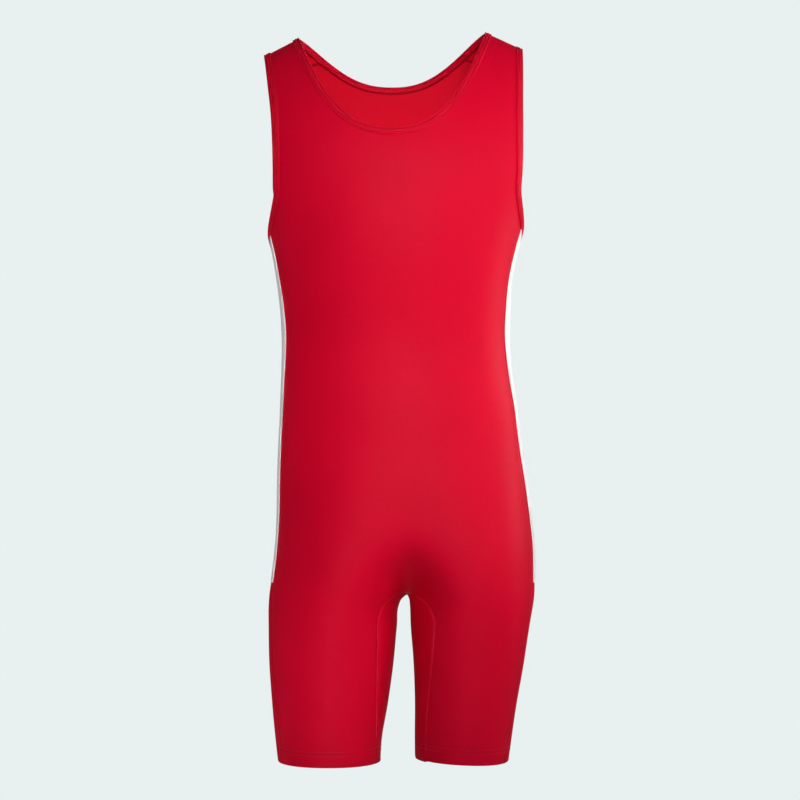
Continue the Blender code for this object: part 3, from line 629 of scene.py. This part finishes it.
for side in sides:
    loop = smoothed(armholeLoop(side), armholeCut["kinkReach"])
    line = smoothed(beside(loop, bindingCut["width"]), armholeCut["lineReach"])
    low = fineness["curve"] + fineness["scoop"] - 2
    depth, _ = depthAt(line[:, 2])
    front, back = (sideAngle(line) - np.arcsin(seamOffset(face, line[:, 2]) / depth) for face in towards)
    frontEnd = low - np.argmax(front[low:0:-1] > 0)
    backEnd = low + np.argmax(back[low:] < 0)
    cut = len(line) - 1 - np.argmax(climbOf(line)[::-1] < seamClimb)
    ways = {"front": np.arange(cut - len(line), frontEnd + 1), "back": np.arange(cut, backEnd - 1, -1)}
    for face in towards:
        way = neckWays[side, face]
        neck[side, face] = stretch(neckLine[way], neckEdge[way], fineness["strap"][face])
        arms[side, face] = stretch(line[ways[face]], loop[ways[face]], chestRows[face])
        sideSeams[side, face] = sideSeam(side, face, arms[side, face][0][-1])
        gussetSeams[side, face] = gussetSeam(side, face)
    under = np.arange(frontEnd, backEnd + 1)
    run = lengthsAlong(line[under])
    at = sideSteps * run[-1]
    underArms[side] = (pointsAt(line[under], at), valuesAt(at, run, loop[under]))
print("seams and edges drawn")


# Cloth

cloth = {
    "thickness": 1.2,
    "hemThickness": 2.2,
    "ripple": 0.35,  # the height of the cloth's slow unevenness
    "rippleShare": 0.6,  # of that, the height of its shorter waves
    "needleDent": 0.32,
    "seamDip": 0.4,  # how far a seam pulls the cloth in
    "dipRows": (8, 4),  # cloth rows over which it starts under the arm and ends at the hem
    "rimAngles": (45, 90, 135),
    "slopeStep": 0.4,  # how far apart the figure's slope is taken
    "armFade": 24,  # cloth rows over which a side panel's rows level out under the arm
    "bandThickness": 0.9,
    "bandLift": 1,  # the bands lie on the side panels
}
underArm, aboveHem = cloth["dipRows"]
creases = (
    # face, x, height, length, slope, width, depth: soft troughs where the knit pulls
    ("front", 20, -500, 70, 0.1, 7, 0.55),
    ("front", 66, -516, 58, -0.12, 6, 0.5),
    ("front", 34, -531, 46, 0.05, 6, 0.4),
    ("front", -60, -705, 60, 0.45, 9, 0.6),
    ("front", 86, -712, 54, -0.5, 9, 0.55),
    ("front", -118, -250, 44, -0.7, 8, 0.6),
    ("front", 128, -244, 40, 0.75, 8, 0.55),
    ("back", 0, -468, 96, 0.06, 9, 0.8),
    ("back", -24, -486, 70, -0.08, 8, 0.6),
    ("back", 34, -450, 62, -0.1, 8, 0.55),
    ("back", -112, -268, 52, -0.62, 9, 0.7),
    ("back", 120, -262, 50, 0.66, 9, 0.7),
    ("back", -58, -752, 66, 0.32, 9, 0.7),
    ("back", 84, -756, 60, -0.34, 9, 0.65),
)
creaseShape = {
    "facing": 30,  # how far off the side line a crease comes in
    "sag": 0.0012,  # how fast its ends curl up
    "rim": 0.45,  # the soft swell along both its sides
    "rimSpread": 2.2,
}


def reliefOf(points):
    # How far the cloth stands off the figure: slow unevenness and creases.
    x, y, z = points[..., 0], points[..., 1], points[..., 2]
    broad = np.sin(x / 31 + z / 57) * np.sin(z / 43 + y / 29)
    short = np.sin(x / 17 - z / 71 + y / 23)
    relief = cloth["ripple"] * (broad + cloth["rippleShare"] * short)
    for face, atX, atZ, length, slope, width, depth in creases:
        facing = ease(towards[face] * y, 0, creaseShape["facing"])
        run = (x - atX) / (length / 2)
        off = (z - atZ - slope * (x - atX) - creaseShape["sag"] * (x - atX) ** 2) / width
        swell = creaseShape["rim"] * np.exp(-(off / creaseShape["rimSpread"]) ** 2)
        relief -= depth * facing * np.exp(-run**4) * (np.exp(-off**2) - swell)
    return relief


def gridUv(grid, base):
    # The knit's own map, in millimetres: across from the base column, and along the wales.
    steps = np.linalg.norm(np.diff(grid, axis=1), axis=2)
    across = np.concatenate([np.zeros((len(grid), 1)), np.cumsum(steps, axis=1)], axis=1)
    across = across - across[:, base][:, None]
    down = np.broadcast_to(lengthsAlong(grid[:, base])[:, None], grid.shape[:2])
    return np.stack([across, -down], axis=2)


def clothNormals(points):
    return normalsOf(points, cloth["slopeStep"])


def lifted(points, height):
    return points + clothNormals(points) * height


def sheetOf(grids):
    # One sheet from grids that share points where they meet: points, per-point extras and quads.
    rows = np.concatenate([grid.reshape(-1, grid.shape[2]) for grid in grids])
    _, first, same = np.unique(np.round(rows[:, :3], 3), axis=0, return_index=True, return_inverse=True)
    quads, start = [], 0
    for grid in grids:
        count, wide = grid.shape[:2]
        index = same.reshape(-1)[start + np.arange(count * wide)].reshape(count, wide)
        start += count * wide
        corners = [index[:-1, :-1], index[1:, :-1], index[1:, 1:], index[:-1, 1:]]
        quads.append(np.stack(corners, axis=2).reshape(-1, 4))
    return rows[first], np.concatenate(quads)


def wallOf(grids, outside=0):
    # A closed cloth wall over a sheet, with rounded rims. A grid holds x, y, z, thickness, u, v, lift.
    data, quads = sheetOf(grids)
    points, thickness, lift = data[:, :3], data[:, 3:4], data[:, 6:7]
    normals = clothNormals(points)
    a, b, c = points[quads[:, 0]], points[quads[:, 1]], points[quads[:, 2]]
    if (np.cross(b - a, c - a) * normals[quads[:, 0]]).sum() < 0:
        quads = quads[:, ::-1]
    edges = np.stack([quads, np.roll(quads, -1, axis=1)], axis=2).reshape(-1, 2)
    count = len(points)
    keys = edges[:, 0] * count + edges[:, 1]
    rim = edges[~np.isin(keys, edges[:, 1] * count + edges[:, 0])]
    rim = rim[rim[:, 0] != rim[:, 1]]
    heads, tails = rim.T
    along = unit(points[tails] - points[heads])
    before, after = np.zeros((count, 3)), np.zeros((count, 3))
    after[heads] = unit(np.cross(along, normals[heads]))
    before[tails] = unit(np.cross(along, normals[tails]))
    isRim = np.zeros(count, bool)
    isRim[rim.reshape(-1)] = True
    mitre = (before + after) / (1 + (before * after).sum(axis=1, keepdims=True))
    raised = points + normals * (outside + lift + reliefOf(points)[:, None] * (~isRim)[:, None])
    centre = raised - np.where(isRim[:, None], mitre, 0) * thickness / 2
    vertices = [centre, centre - normals * thickness]
    faces = [quads, quads[:, ::-1] + count]
    uv = [data[:, 4:6]] * 2
    inside = [np.zeros(len(quads), int), np.ones(len(quads), int)]
    rimPoints = np.unique(rim)
    place = np.full(count, -1)
    place[rimPoints] = np.arange(len(rimPoints))
    rings = [rimPoints]
    start = 2 * count
    for degrees in cloth["rimAngles"]:
        turn = np.radians(degrees)
        radius = thickness[rimPoints] / 2
        ring = centre[rimPoints] + mitre[rimPoints] * radius * np.sin(turn)
        vertices.append(ring - normals[rimPoints] * radius * (1 - np.cos(turn)))
        uv.append(data[rimPoints, 4:6])
        rings.append(start + np.arange(len(rimPoints)))
        start += len(rimPoints)
    rings.append(rimPoints + count)
    heads, tails = place[heads], place[tails]
    for upper, lower in zip(rings[:-1], rings[1:]):
        faces.append(np.stack([upper[tails], upper[heads], lower[heads], lower[tails]], axis=1))
        inside.append(np.zeros(len(rim), int))
    return [np.concatenate(parts) for parts in (vertices, faces, uv, inside)]


def dress(points, base, hemmed=True, sewn=()):
    # A grid of points with its thickness, map and the dents of its seams and its hem's stitches. sewn
    # holds the columns that are seams, the row where each starts and the rows over which it deepens.
    thickness = np.full(points.shape[:2], cloth["thickness"])
    lift = np.zeros(points.shape[:2])
    if hemmed:
        turned = np.where(hemOffsets <= hemCut["depth"], cloth["hemThickness"], cloth["thickness"])
        thickness[-hemRows:] = turned[:, None]
        for needle in hemCut["needles"]:
            lift[-hemRows:] -= cloth["needleDent"] * np.isclose(hemOffsets, needle)[:, None]
    for column, start, deepens in sewn:
        at = np.arange(len(points))
        deep = np.minimum((at - start) / deepens, (len(points) - hemRows - at) / aboveHem)
        lift[:, column] -= cloth["seamDip"] * np.where(at < start, 0, np.clip(deep, 0, 1))
    extras = [thickness[..., None], gridUv(points, base), lift[..., None]]
    return np.concatenate([points] + extras, axis=2)


def panelGrids(face):
    shares = np.linspace(0, 1, fineness["panel"] + 1)
    line = centreLine(face, neck["right", face][0][-1])
    grids = []
    for side in sides:
        outer = joined(arms[side, face][0], sideSeams[side, face])
        inner = joined(neck[side, face][0], line, gussetSeams[side, face])
        inner[fineness["strap"][face]] = line[0]
        grid = rowsBetween(outer, inner, axesFor(side, outer, inner), shares)
        grids.append(grid if side == "right" else grid[:, ::-1])
    return grids


def sideGrid(side):
    # A side panel: its top row follows the armhole, and the rows below it level out.
    front, back, top = sideSeams[side, "front"], sideSeams[side, "back"], underArms[side][0]
    grid = []
    for index, (ahead, behindIt) in enumerate(zip(front, back)):
        angles = sideAngle(np.stack([ahead, behindIt]))
        angle = angles[0] + (angles[1] - angles[0]) * sideSteps
        z = ahead[2] + (behindIt[2] - ahead[2]) * sideSteps
        if index == 0:
            bend, swing = top[:, 2] - z, sideAngle(top) - angle
            row = top
        else:
            fade = max(0, 1 - index / cloth["armFade"]) ** 2
            row = atAngle(side, angle + swing * fade, z + bend * fade)
            row[0], row[-1] = ahead, behindIt
        grid.append(row)
    return np.stack(grid)


def gussetGrid():
    steps = np.linspace(0, 1, fineness["gusset"] + 1)
    halves = []
    for side in sides:
        front, back = gussetSeams[side, "front"], gussetSeams[side, "back"]
        middle = (front + back) / 2
        row = figureAt(middle[:, 2])
        _, centre = depthOf(row)
        leg = np.stack([row[side + "Mid"], centre, middle[:, 2]], axis=1)
        crotch = np.array([middle[0, 0], centre[0], figure["crotch"] + gussetCut["axisRise"]])
        share = np.minimum(np.arange(len(front)) / fineness["arch"], 1)[:, None] ** gussetCut["axisPace"]
        halves.append(rowsBetween(front, back, crotch + (leg - crotch) * share, steps))
    return halves


# Materials

knitRed = {
    "colour": "D6042C",
    "deep": "C60025",  # the shade in the knit's valleys and slow patches
    "roughness": 0.52,
    "shine": 0.05,  # share of a smooth plastic's shine, because the loops scatter it
    "sheen": 0.10,
    "sheenTint": "F4203C",
    "wale": 0.9,  # mm from one knit rib to the next, at 28 to the inch
    "course": 0.62,  # mm from one row of loops to the next
    "bump": 0.05,
}
knitPattern = {
    "courseShare": 0.35,  # how far the rows of loops show beside the ribs
    "patchNoise": (9, 2),  # scale and detail: slow patches of dye, about 110 mm across
    "fuzzNoise": (420, 3),  # the yarn's own unevenness, about 2.4 mm
    "patch": (0.35, 0.7, 0, 0.35),  # the noise from low to high, and the share of the deep shade there
    "grain": (0.3, 0.7, 0, 0.3),
    "roughSpread": (-0.04, 0.05),
    "fuzzHeight": 1.2,
    "relief": 0.4,
    "ior": 1.53,  # polyamide
    "sheenRoughness": 0.45,
}


def knitMaterial(name, **changes):
    # Warp-knitted polyamide with elastane: smooth, satin on its face, with fine upright ribs.
    look = {**knitRed, **changes}
    material = bpy.data.materials.new(name)
    material.use_nodes = True
    tree = material.node_tree
    uv = addNode(tree, "UVMap", {"uv_map": "knit"})
    axes = addNode(tree, "SeparateXYZ", inputs={0: uv})
    waves = []
    for axis, pitch in (("X", look["wale"]), ("Y", look["course"])):
        turn = addNode(tree, "Math", {"operation": "MULTIPLY"},
                       {0: axes.outputs[axis], 1: 2 * np.pi / (pitch * mm)})
        waves.append(addNode(tree, "Math", {"operation": "SINE"}, {0: turn}))
    woven = addNode(tree, "Math", {"operation": "MULTIPLY_ADD"},
                    {0: waves[1], 1: knitPattern["courseShare"], 2: waves[0]})
    where = addNode(tree, "TexCoord").outputs["Object"]
    slow, fine = (
        addNode(tree, "TexNoise", inputs={"Vector": where, "Scale": scale, "Detail": detail})
        for scale, detail in (knitPattern["patchNoise"], knitPattern["fuzzNoise"]))
    rougher = tuple(look["roughness"] + change for change in knitPattern["roughSpread"])
    patch, grain, rough = (
        addNode(tree, "MapRange", inputs=dict(enumerate((noise,) + bounds)))
        for noise, bounds in ((slow, knitPattern["patch"]), (fine, knitPattern["grain"]),
                              (fine, knitPattern["grain"][:2] + rougher)))
    shade = addNode(tree, "Math", {"operation": "ADD"}, {0: patch, 1: grain})
    colour = addNode(tree, "Mix", {"data_type": "RGBA"},
                     {0: shade, 6: linearFromHex(look["colour"]), 7: linearFromHex(look["deep"])})
    height = addNode(tree, "Math", {"operation": "MULTIPLY_ADD"},
                     {0: fine, 1: knitPattern["fuzzHeight"], 2: woven})
    bump = addNode(tree, "Bump", inputs={
        "Strength": look["bump"], "Distance": knitPattern["relief"] * mm, "Height": height})
    feed(tree, tree.nodes["Principled BSDF"], {
        "Base Color": colour.outputs[2], "Roughness": rough, "Normal": bump, "IOR": knitPattern["ior"],
        "Specular IOR Level": look["shine"], "Sheen Weight": look["sheen"],
        "Sheen Roughness": knitPattern["sheenRoughness"], "Sheen Tint": linearFromHex(look["sheenTint"])})
    return material


# The face of the knit: long smooth floats, which give broad soft highlights.
satinFace = knitMaterial("polyamideKnitFace")
# Its reverse: short open loops, matt and a little lighter. Its colour is lighter still as painted light, for
# the glow inside the garment where light comes through the thin cloth.
mattBack = knitMaterial("polyamideKnitReverse", colour="E4102E", deep="D60A28", roughness=0.6, sheen=0.2)
# Folded binding tape: a coarser rib that shows as fine lines round each opening.
bindingKnit = knitMaterial("polyamideBindingKnit", colour="DC0E30", roughness=0.5, wale=1.1, bump=0.09)
# The same knit undyed: a clean white that stays matt, with a faint grey in its valleys.
whiteKnit = knitMaterial(
    "whitePolyamideKnit", colour="FBFAFA", deep="F1EEEE", roughness=0.55, sheen=0.1, sheenTint="FFFFFF")
# Twisted polyester thread, dyed to the cloth: small round stitches, each with a light of its own.
thread = knitMaterial(
    "redPolyesterThread", colour="CC062A", deep="A80020", roughness=0.4, shine=0.3, bump=0)
# The same thread in a darker red, as painted shade: fine dark lines for the shadows in the bindings' needle
# grooves and at the shoulder seams.
paintedShadeThread = knitMaterial(
    "redPolyesterThreadPaintedShade", colour="A60418", deep="8A0012", roughness=0.5, shine=0.1, bump=0)
# Shiny trilobal polyester along the gusset, in a pale red that paints a highlight on top of its own shine,
# so the seam shows as a light line.
paleHighlightThread = knitMaterial(
    "redPolyesterThreadPaintedHighlight", colour="F0304C", deep="E42842", roughness=0.4, shine=0.4, bump=0)
# Undyed polyester thread on the bands, nearly hidden in the white knit.
whiteThread = knitMaterial(
    "whitePolyesterThread", colour="EFEDED", deep="DAD6D8", roughness=0.45, sheen=0.05, sheenTint="FFFFFF",
    bump=0)


# Making pieces

def addObject(name, mesh, nodes=()):
    mesh.shade_smooth()
    mesh.update()
    obj = bpy.data.objects.new(name, mesh)
    bpy.context.scene.collection.objects.link(obj)
    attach(obj, "root")
    if nodes:
        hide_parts(*nodes)
    return obj


def addPiece(name, wall, materials, node):
    vertices, faces, uv, inside = wall
    mesh = bpy.data.meshes.new(name)
    mesh.from_pydata((vertices * mm).tolist(), [], faces.tolist())
    for material in materials:
        mesh.materials.append(material)
    mesh.polygons.foreach_set("material_index", np.minimum(inside, len(materials) - 1).astype(np.int32))
    loops = np.empty(len(mesh.loops), np.int32)
    mesh.loops.foreach_get("vertex_index", loops)
    layer = mesh.uv_layers.new(name="knit")
    layer.data.foreach_set("uv", (uv[loops] * mm).astype(np.float32).reshape(-1))
    return addObject(name, mesh, (node,))


pieces, panelHalves, sideGrids, bandGrids = {}, {}, {}, {}
faceAndBack = (satinFace, mattBack)
for face in towards:
    apex = chestRows[face] + fineness["trunk"] - 1
    panelHalves[face] = panelGrids(face)
    grids = [dress(grid, base, sewn=((outer, chestRows[face], underArm), (base, apex, 1)))
             for grid, base, outer in zip(panelHalves[face], (-1, 0), (0, -1))]
    pieces[face] = addPiece(face + "_cloth", wallOf(grids), faceAndBack, face + "_panel")
print("front and back made")

bandRows = fineness["trunk"] + fineness["hip"] + 1
for side in sides:
    grid = sideGrids[side] = sideGrid(side)
    bandGrids[side] = grid[:bandRows, 1:-1]
    middle = fineness["side"] // 2
    wall = wallOf([dress(grid, middle, sewn=((0, 0, underArm), (-1, 0, underArm)))])
    pieces["side", side] = addPiece("side_cloth_" + side, wall, faceAndBack, "side_panel_" + side)
    band = dress(bandGrids[side], middle - 1, hemmed=False)
    band[..., 3] = cloth["bandThickness"]
    wall = wallOf([band], outside=cloth["bandLift"])
    pieces["band", side] = addPiece(
        "band_cloth_" + side, wall, (whiteKnit,), "side_band_" + side)

gussetHalves = gussetGrid()
seams = ((0, -1, 1), (-1, -1, 1))
wall = wallOf([dress(grid, fineness["gusset"] // 2, sewn=seams) for grid in gussetHalves])
pieces["gusset"] = addPiece("gusset_cloth", wall, faceAndBack, "gusset")
print("sides, bands and gusset made")


# Bindings

def ringOf(parts):
    return [np.concatenate([part[k][:-1] for part in parts]) for k in range(2)]


def backwards(pair):
    return pair[0][::-1], pair[1][::-1]


rings = {"neck": ringOf([neck["right", "front"], backwards(neck["left", "front"]),
                         neck["left", "back"], backwards(neck["right", "back"])])}
for side in sides:
    rings[side] = ringOf([arms[side, "front"], underArms[side], backwards(arms[side, "back"])])


def bindingLine(ring, across):
    line, edge = rings[ring]
    return settle(line + (edge - line) * across / bindingCut["width"])


def bindingWall(ring):
    # A folded binding along a closed edge, with one profile at each of its points.
    profile = np.array(bindingCut["profile"])
    points = np.stack([lifted(bindingLine(ring, across), out) for across, out in profile], axis=1)
    count, around = points.shape[:2]
    index = np.arange(count * around).reshape(count, around)
    beyond, across = np.roll(index, -1, axis=0), np.roll(index, -1, axis=1)
    faces = np.stack([index, beyond, np.roll(beyond, -1, axis=1), across], axis=2).reshape(-1, 4)
    flat = points.reshape(-1, 3)
    a, b, c, d = (flat[faces[:, k]] for k in range(4))
    if (np.cross(a, b) * c).sum() + (np.cross(a, c) * d).sum() < 0:
        faces = faces[:, ::-1]
    uv = np.stack(np.broadcast_arrays(lengthsAlong(profile), lengthsAlong(rings[ring][0])[:, None]), axis=2)
    return flat, faces, uv.reshape(-1, 2), np.zeros(len(faces), int)


for ring, name, node in (("neck", "neck_trim", "neck_binding"),
                         ("right", "armhole_trim_right", "armhole_binding_right"),
                         ("left", "armhole_trim_left", "armhole_binding_left")):
    addPiece(name, bindingWall(ring), (bindingKnit,), node)
print("bindings made")


# Stitches

stitchCut = {
    "length": 2.6, "gap": 0.5, "radius": 0.26, "around": 6,
    "rings": ((0, 0.35), (0.18, 0.95), (0.5, 1.05), (0.82, 0.95), (1, 0.35)),  # along, width
    "arch": 0.12,
    "lead": 0.1,  # the share of a stitch's room that lies before it
}


def stitchMesh(starts, ends, normals):
    # One small rounded length of thread for each start and end.
    along = ends - starts
    aside = unit(np.cross(along, normals))
    up = unit(np.cross(aside, along))
    around = stitchCut["around"]
    turns = np.arange(around) * 2 * np.pi / around
    rows = []
    for share, wide in stitchCut["rings"]:
        middle = starts + along * share + up * (stitchCut["arch"] * np.sin(np.pi * share))
        for turn in turns:
            rows.append(middle + (aside * np.cos(turn) + up * np.sin(turn)) * stitchCut["radius"] * wide)
    points = np.stack(rows, axis=1)
    ringCount = len(stitchCut["rings"])
    base = np.arange(ringCount * around).reshape(ringCount, around)
    beyond = np.roll(base, -1, axis=1)
    quads = np.stack([base[:-1], beyond[:-1], beyond[1:], base[1:]], axis=2).reshape(-1, 4)
    caps = np.array([base[0][::-1], base[-1]])
    offsets = np.arange(len(starts))[:, None, None] * ringCount * around
    quads = (quads[None] + offsets).reshape(-1, 4)
    caps = (caps[None] + offsets).reshape(-1, around)
    return points.reshape(-1, 3), quads.tolist() + caps.tolist()


def addStitches(name, runs, material=thread):
    faces, start = [], 0
    for points, polygons in runs:
        faces += [[index + start for index in polygon] for polygon in polygons]
        start += len(points)
    mesh = bpy.data.meshes.new(name)
    mesh.from_pydata((np.concatenate([run[0] for run in runs]) * mm).tolist(), [], faces)
    mesh.materials.append(material)
    mesh.uv_layers.new(name="knit")
    return addObject(name, mesh)


def needleRun(line, height, closed=False):
    # A row of stitches along a line on the figure, at this height off it.
    count = max(2, int(lengthsAlong(line)[-1] / (stitchCut["length"] + stitchCut["gap"])))
    curve = closedUp(line) if closed else line
    first = (np.arange(count) + stitchCut["lead"]) * lengthsAlong(curve)[-1] / count
    starts, ends = pointsAt(curve, first), pointsAt(curve, first + stitchCut["length"])
    return stitchMesh(lifted(starts, height), lifted(ends, height), clothNormals(starts))


def zigzagRun(lineA, lineB, height, pitch, closed=False):
    # Looper threads that cross between two lines, on the inside of the cloth.
    if closed:
        lineA, lineB = closedUp(lineA), closedUp(lineB)
    shares = np.linspace(0, 1, 2 * int(lengthsAlong(lineA)[-1] / pitch) + 1)
    a, b = (lifted(pointsAt(line, shares * lengthsAlong(line)[-1]), height) for line in (lineA, lineB))
    starts = np.concatenate([a[0:-2:2], b[1:-1:2]])
    ends = np.concatenate([b[1:-1:2], a[2::2]])
    return stitchMesh(starts, ends, -clothNormals(starts))


bindingStitches = {
    # the rows of needles and how far off the figure they lie, then the ladder row inside
    "outside": (("edgeNeedle", 0.52), ("seamNeedle", 0.92)),
    "inside": (("edgeNeedle", -1.72),),
    "ladder": (-1.4, 1.8), "ladderHeight": -2.55, "pitch": 1.9,
}
stitches = {}
for ring, name in (("neck", "neck"), ("right", "armhole_right"), ("left", "armhole_left")):
    outer, inner = ([needleRun(bindingLine(ring, bindingCut[needle]), height, closed=True)
                     for needle, height in bindingStitches[where]] for where in ("outside", "inside"))
    lines = (bindingLine(ring, across) for across in bindingStitches["ladder"])
    inner.append(zigzagRun(*lines, bindingStitches["ladderHeight"], bindingStitches["pitch"], closed=True))
    # The bindings' rows of stitches are in the darker thread, which paints the shade of their needle
    # grooves.
    stitches[ring] = [addStitches(name + "_stitches", outer, paintedShadeThread),
                      addStitches(name + "_inner_stitches", inner, paintedShadeThread)]
print("binding stitches made")


def hemLoop(side, offset):
    # All round a leg at this height above its hem, starting at the gusset's front seam.
    row = int(np.argmin(np.abs(hemOffsets - offset))) - hemRows
    half = sides.index(side)
    front, back = (panelHalves[face][half][row] for face in towards)
    if side == "right":
        front = front[::-1]
    else:
        back = back[::-1]
    return joined(front, sideGrids[side][row], back, gussetHalves[half][row][::-1])[:-1]


hemStitches = {"outside": -0.08, "inside": -2.35, "pitch": 2}
for side in sides:
    upper, lower = (hemLoop(side, needle) for needle in hemCut["needles"])
    outer = [needleRun(line, hemStitches["outside"], closed=True) for line in (upper, lower)]
    inner = [zigzagRun(upper, lower, hemStitches["inside"], hemStitches["pitch"], closed=True)]
    stitches["hem", side] = [addStitches("hem_stitches_" + side, outer),
                             addStitches("hem_inner_stitches_" + side, inner)]
print("hem stitches made")


def besideSeam(seam, aside):
    # The line this far to one side of an open seam.
    across = unit(np.cross(clothNormals(seam), unit(np.gradient(seam, axis=0))))
    return settle(seam + across * aside)


def overSeam(seam, cut):
    # Looper threads over an open seam, on the inside.
    lines = (besideSeam(seam, aside) for aside in (-cut["reach"], cut["reach"]))
    return zigzagRun(*lines, cut["height"], cut["pitch"])


seamStitches = {"reach": 2.2, "height": -1.62, "pitch": 1.9}
gussetStitches = {"steps": 300, "height": 0.1 - cloth["seamDip"]}
shoulderStitches = {"steps": 60, "reach": 2.4, "height": -1.5, "pitch": 1.9}
bandStitches = {"inset": 1.8, "height": 1.16}
for side in sides:
    sewn = [seams[side, face][:-hemRows] for face in towards for seams in (sideSeams, gussetSeams)]
    stitches["seam", side] = [addStitches(
        "seam_stitches_" + side, [overSeam(seam, seamStitches) for seam in sewn])]
    for face, seam in zip(towards, sewn[1::2]):
        run = needleRun(evenly(seam, gussetStitches["steps"]), gussetStitches["height"])
        # The gusset stitches are in the pale thread, a painted highlight along each seam.
        stitches["seam", side].append(addStitches("gusset_stitches_" + side + "_" + face, [run], paleHighlightThread))
    shoulder = np.stack([neck[side, "front"][0][0], arms[side, "front"][0][0]])
    shoulder = settle(evenly(shoulder, shoulderStitches["steps"]))
    # The shoulder seam's stitches are in the darker thread, which paints a shadow line along the seam.
    stitches["shoulder", side] = [addStitches(
        "shoulder_stitches_" + side, [overSeam(shoulder, shoulderStitches)], paintedShadeThread)]
    band = bandGrids[side][2:-1]
    inset = [settle(band[:, k] + unit(band[:, m] - band[:, k]) * bandStitches["inset"])
             for k, m in ((0, 1), (-1, -2))]
    runs = [needleRun(line, bandStitches["height"]) for line in inset]
    stitches["band", side] = [addStitches("band_stitches_" + side, runs, whiteThread)]
print("seam stitches made")

for part in ("shoulder", "hem"):
    stitches[part + "s"] = stitches[part, "left"] + stitches[part, "right"]
